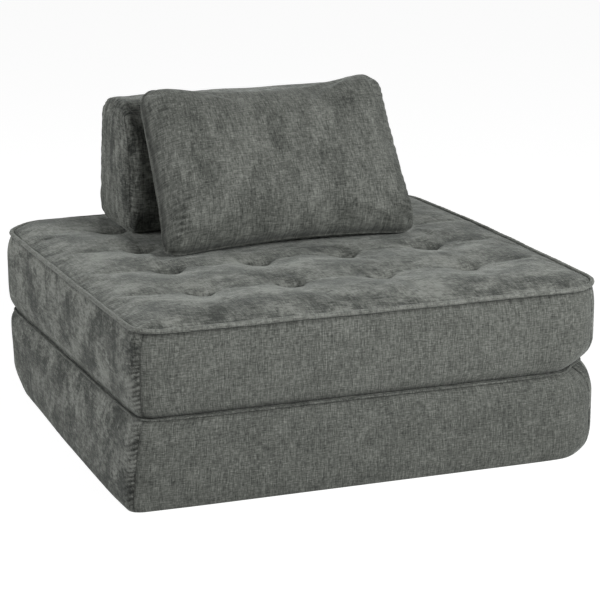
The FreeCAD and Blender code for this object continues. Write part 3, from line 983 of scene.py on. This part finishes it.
def leanPillow(points):
    low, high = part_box("pillow_front_panel")
    lowBack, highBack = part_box("pillow_back_panel")
    centre = (np.minimum(low, lowBack) + np.maximum(high, highBack)) / 2
    x, y, z = points.T
    y, z = turned(y, z, pillow["lean"])
    x, y = turned(x, y, pillow["turn"])
    return np.stack([x, y, z], axis=1) + centre + pillow["place"]


def dressPillow(cover):
    # seam groove, ripples beside the side seams, unevenness, then the lean; painted shade in the groove and
    # ripple valleys
    layout, points, normals = readCover(cover)
    offP, offQ = pillowOff(layout[:, 0], layout[:, 2])
    off = np.minimum(offP, offQ)
    run = np.where(offP < offQ, layout[:, 2], layout[:, 0])
    groove = hill(off - pillow["lip"], 0.0022)
    band = hill(off - 0.030, 0.016) * (offP < offQ)
    ripple = np.sin(run * 2 * math.pi / 0.016 + 3 * drift(points, 0.10, 51))
    loud = np.clip(0.5 + 0.7 * drift(points, 0.12, 52), 0, 1.2)
    move = -0.0010 * groove + 0.0024 * band * ripple * loud
    move += 0.0010 * drift(points, 0.11, 53) * step(0.01, 0.06, off)
    writePoints(cover, leanPillow(points + normals * move[:, None]))
    keepTones(cover, 0.85 * groove + 0.45 * band * (ripple < -0.2) * loud, pillow["nap"])


def settlePillow(cover, block):
    # flat where it rests on the seat and against the backrest
    points = readPoints(cover)
    points[:, 2] = np.maximum(points[:, 2], pillow["floor"])
    upShare = np.clip((points[:, 2] - block["low"]) / (2 * halfRise), 0, 1)
    limit = block["middleY"] - backrestDepth(block, upShare) - pillow["clear"]
    beside = np.abs(points[:, 0]) < block["halfLength"]
    below = points[:, 2] < block["high"] - 0.01
    points[:, 1] = np.where(beside & below, np.minimum(points[:, 1], limit), points[:, 1])
    writePoints(cover, points)


pillowCover = layOutPillow()
layout = shapePillow(pillowCover)
seamLine = np.minimum(*pillowOff(layout[:, 0], layout[:, 2])) < pillow["lip"]
puff(pillowCover, seamLine, pressure=3.0, grow=0.004, frames=14, cap=0.012, bend=2.0)
finishCover(pillowCover)
dressPillow(pillowCover)
settlePillow(pillowCover, backrestBlock)
paint(pillowCover, chenilleLoose)
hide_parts("pillow_fill", "pillow_front_panel", "pillow_back_panel")
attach(pillowCover, "pillow")
print("pillow covered")


# hinge strip across the fold at the back
strip = {
    "half": 0.395, "low": 0.081, "high": 0.265, "y": 0.4765, "thick": 0.0018,
    "fold": 0.173, "bead": 0.0022, "hem": 0.005, "foldHem": 0.012,
}


def addHingeStrip():
    across = np.linspace(-strip["half"], strip["half"], 121)
    middle = (strip["high"] + strip["low"]) / 2
    up = spread(60, (strip["high"] - strip["low"]) / 2, [0], 0.012, 3.0) + middle
    panel = addPanel("hingeStrip", across, up, lambda a, b: (a, 0 * a + strip["y"], b), (60, 0.9))
    points = readPoints(panel)
    x, z = points[:, 0], points[:, 2]
    fromFold = z - strip["fold"]
    edge = np.minimum(strip["half"] - np.abs(x), np.minimum(z - strip["low"], strip["high"] - z))
    uneven = drift(points[:, [0, 2]], 0.06, 71)
    points[:, 1] += strip["bead"] * hill(fromFold, 0.0045)
    points[:, 1] += 0.0006 * step(0.0, 0.004, edge) * (1 - step(0.006, 0.011, edge))
    points[:, 1] += 0.0004 * uneven * step(0.004, 0.02, np.abs(fromFold)) * step(0.0, 0.01, edge)
    writePoints(panel, points)
    applyModifier(panel, "SOLIDIFY", thickness=strip["thick"], offset=0)
    bpy.ops.object.shade_smooth()
    return panel


hingeStrip = addHingeStrip()
paint(hingeStrip, chenille)
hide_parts("hinge_strip_lower", "hinge_strip_upper", "hinge_fold_cord")
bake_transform(hingeStrip)
print("hinge strip sewn on")


# thread: rows of stitches and the crossed threads that hold each tuft
stitch = {"length": 0.0032, "pitch": 0.0046, "radius": 0.0005, "flat": 0.8, "proud": 0.0007}
tuftStitch = {"ways": (0.6, 2.2), "size": 1.3, "proud": 0.0004}


def takePattern():
    # takes the points and faces of the shape just modelled
    pattern = bpy.context.object
    shape = readPoints(pattern)
    faces = [tuple(face.vertices) for face in pattern.data.polygons]
    bpy.data.objects.remove(pattern)
    return shape, faces


def addCopies(name, shape, faces, spots):
    # one mesh of the shape at every spot: centre, way along, way out, size
    points, copied = [], []
    for i, (centre, along, out, size) in enumerate(spots):
        along, out = np.array(along, float), np.array(out, float)
        ways = np.stack([along, np.cross(out, along), out])
        points.append(np.array(centre) + (shape * size) @ ways)
        copied += [tuple(j + i * len(shape) for j in face) for face in faces]
    mesh = bpy.data.meshes.new(name)
    mesh.from_pydata(np.concatenate(points).tolist(), [], copied)
    return linkObject(name, mesh)


def addThread(name, spots):
    bpy.ops.mesh.primitive_uv_sphere_add(segments=6, ring_count=4, radius=1)
    shape, faces = takePattern()
    shape *= (stitch["length"] / 2, stitch["radius"], stitch["radius"] * stitch["flat"])
    thread = addCopies(name, shape, faces, spots)
    bpy.ops.object.shade_smooth()
    paint(thread, twineCloth)
    return thread


def stitchRow(start, end, out):
    start, end = np.array(start, float), np.array(end, float)
    length = np.linalg.norm(end - start)
    along = (end - start) / length
    count = int(length / stitch["pitch"])
    return [(start + along * (i + 0.5) * stitch["pitch"], along, out, 1.0) for i in range(count)]


def leafRows(bottom, top):
    # stitches round one leaf of the strip
    side, y = strip["half"] - strip["hem"], strip["y"] + strip["thick"] / 2 + stitch["proud"]
    rows = []
    for z in (bottom, top):
        rows += stitchRow((-side, y, z), (side, y, z), (0, 1, 0))
    for x in (-side, side):
        rows += stitchRow((x, y, bottom), (x, y, top), (0, 1, 0))
    return rows


for name, bottom, top, body in (
    ("lowerStripStitches", strip["low"] + strip["hem"], strip["fold"] - strip["foldHem"], "lower_section"),
    ("upperStripStitches", strip["fold"] + strip["foldHem"], strip["high"] - strip["hem"], "upper_section"),
):
    row = addThread(name, leafRows(bottom, top))
    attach(row, body)

tuftThreads = []
for x, y in tuftPlaces():
    onCover = upperCover.ray_cast(Vector((x, y, 0.45)), Vector((0, 0, -1)))[1]
    level = onCover.z + tuftStitch["proud"]
    for way in tuftStitch["ways"]:
        along = (math.cos(way), math.sin(way), 0)
        tuftThreads.append(((x, y, level), along, (0, 0, 1), tuftStitch["size"]))
tuftStitches = addThread("tuftStitches", tuftThreads)
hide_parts("tuft_knots")
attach(tuftStitches, "upper_section")
print("stitches sewn")


# zips: teeth in place of the plain coil bars
tooth = {"pitch": 0.0026, "length": 0.0019, "width": 0.0038, "height": 0.0016, "lean": 0.0006, "bevel": 0.22}


def addTeeth(name, node, alongAxis, out):
    # bevelled teeth along a coil, set to either side in turn
    low, high = (np.array(corner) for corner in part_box(node))
    bpy.ops.mesh.primitive_cube_add(size=1)
    editAll(bpy.ops.mesh.bevel, offset=tooth["bevel"], segments=1, affect="EDGES")
    shape, faces = takePattern()
    shape *= (tooth["length"], tooth["width"], tooth["height"])
    along = np.zeros(3)
    along[alongAxis] = 1
    side = np.cross(out, along)
    length = (high - low)[alongAxis]
    spots = []
    for i in range(int(length / tooth["pitch"])):
        offset = (i + 0.5) * tooth["pitch"] - length / 2
        lean = tooth["lean"] if i % 2 else -tooth["lean"]
        spots.append(((low + high) / 2 + along * offset + side * lean, along, out, 1.0))
    teeth = addCopies(name, shape, faces, spots)
    editAll(bpy.ops.mesh.normals_make_consistent, inside=False)
    paint(teeth, zipMetal)
    return teeth


def faceNormal(node):
    # the way a zip tape faces: its thinnest way, outwards
    points = readPoints(nodes[node])
    middle = points.mean(axis=0)
    centred = points - middle
    way = np.linalg.svd(centred[:: max(1, len(points) // 4000)], full_matrices=False)[2][2]
    outward = middle - np.array([0, 0.2, middle[2]])
    return way if way @ outward > 0 else -way


for name, node, axis, body in (
    ("lowerZipTeeth", "lower_zip", 1, "lower_section"),
    ("upperZipTeeth", "upper_zip", 1, "upper_section"),
    ("backrestZipTeeth", "backrest_zip", 0, "backrest"),
):
    teeth = addTeeth(name, node + "_coil", axis, faceNormal(node + "_tape"))
    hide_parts(node + "_coil")
    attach(teeth, body)
    paint(nodes[node + "_tape"], tapeCloth)
    paint(nodes[node + "_slider"], zipMetal)
    paint(nodes[node + "_pull"], zipMetal)
paint(nodes["tuft_twines"], twineCloth)
paint(nodes["tuft_washers"], feltCloth)
print("zips toothed")


# floor, light and background
studio = {"worldLight": 0.14, "floorSize": 40, "floorTone": 0.55, "floorSeen": 0.34, "floorGlow": 0.90}
keySoftbox = {"place": (1.2, -3.4, 2.25), "size": 1.6, "power": 128, "target": (0, 0, 0.3)}
fillSoftbox = {"place": (-3.4, 0.7, 1.5), "size": 2.0, "power": 52, "target": (0, 0, 0.3)}


def mixBySight(tree, unseen, seen):
    # the seen shader for rays that show it, the other for its light
    path = tree.nodes.new("ShaderNodeLightPath")
    sight = addMath(tree, "MAXIMUM", path.outputs["Is Camera Ray"], path.outputs["Is Glossy Ray"])
    sight = addMath(tree, "MAXIMUM", sight, path.outputs["Is Transmission Ray"])
    mix = tree.nodes.new("ShaderNodeMixShader")
    for source, socket in zip((sight, unseen.outputs[0], seen.outputs[0]), mix.inputs):
        tree.links.new(source, socket)
    return mix.outputs[0]


def addFloor():
    bpy.ops.mesh.primitive_plane_add(size=studio["floorSize"])
    floor = bpy.context.object
    floor.name = "studioFloor"
    material = bpy.data.materials.new("paleFloor")
    material.use_nodes = True
    tree = material.node_tree
    tree.nodes.clear()
    output = tree.nodes.new("ShaderNodeOutputMaterial")
    plain = addNode(tree, "ShaderNodeBsdfDiffuse", in_Color=(studio["floorTone"],) * 3 + (1,))
    matt = addNode(tree, "ShaderNodeBsdfDiffuse", in_Color=(studio["floorSeen"],) * 3 + (1,))
    glow = addNode(tree, "ShaderNodeEmission", in_Color=(1, 1, 1, 1), in_Strength=studio["floorGlow"])
    seen = tree.nodes.new("ShaderNodeAddShader")
    tree.links.new(matt.outputs[0], seen.inputs[0])
    tree.links.new(glow.outputs[0], seen.inputs[1])
    tree.links.new(mixBySight(tree, plain, seen), output.inputs[0])
    floor.data.materials.append(material)


def addWorld():
    world = bpy.data.worlds.new("studioWorld")
    scene.world = world
    world.use_nodes = True
    tree = world.node_tree
    tree.nodes.clear()
    output = tree.nodes.new("ShaderNodeOutputWorld")
    seen = addNode(tree, "ShaderNodeBackground", in_Color=(1, 1, 1, 1), in_Strength=1.0)
    light = addNode(tree, "ShaderNodeBackground", in_Color=(1, 1, 1, 1), in_Strength=studio["worldLight"])
    tree.links.new(mixBySight(tree, light, seen), output.inputs[0])


def addSoftbox(name, box):
    bpy.ops.object.light_add(type="AREA", location=box["place"])
    lamp = bpy.context.object
    lamp.name = name
    lamp.data.shape = "SQUARE"
    lamp.data.size = box["size"]
    lamp.data.energy = box["power"]
    facing = Vector(box["target"]) - Vector(box["place"])
    lamp.rotation_euler = facing.to_track_quat("-Z", "Y").to_euler()


addFloor()
addWorld()
addSoftbox("keySoftbox", keySoftbox)
addSoftbox("fillSoftbox", fillSoftbox)
scene.view_settings.view_transform = "Standard"
print("studio set")
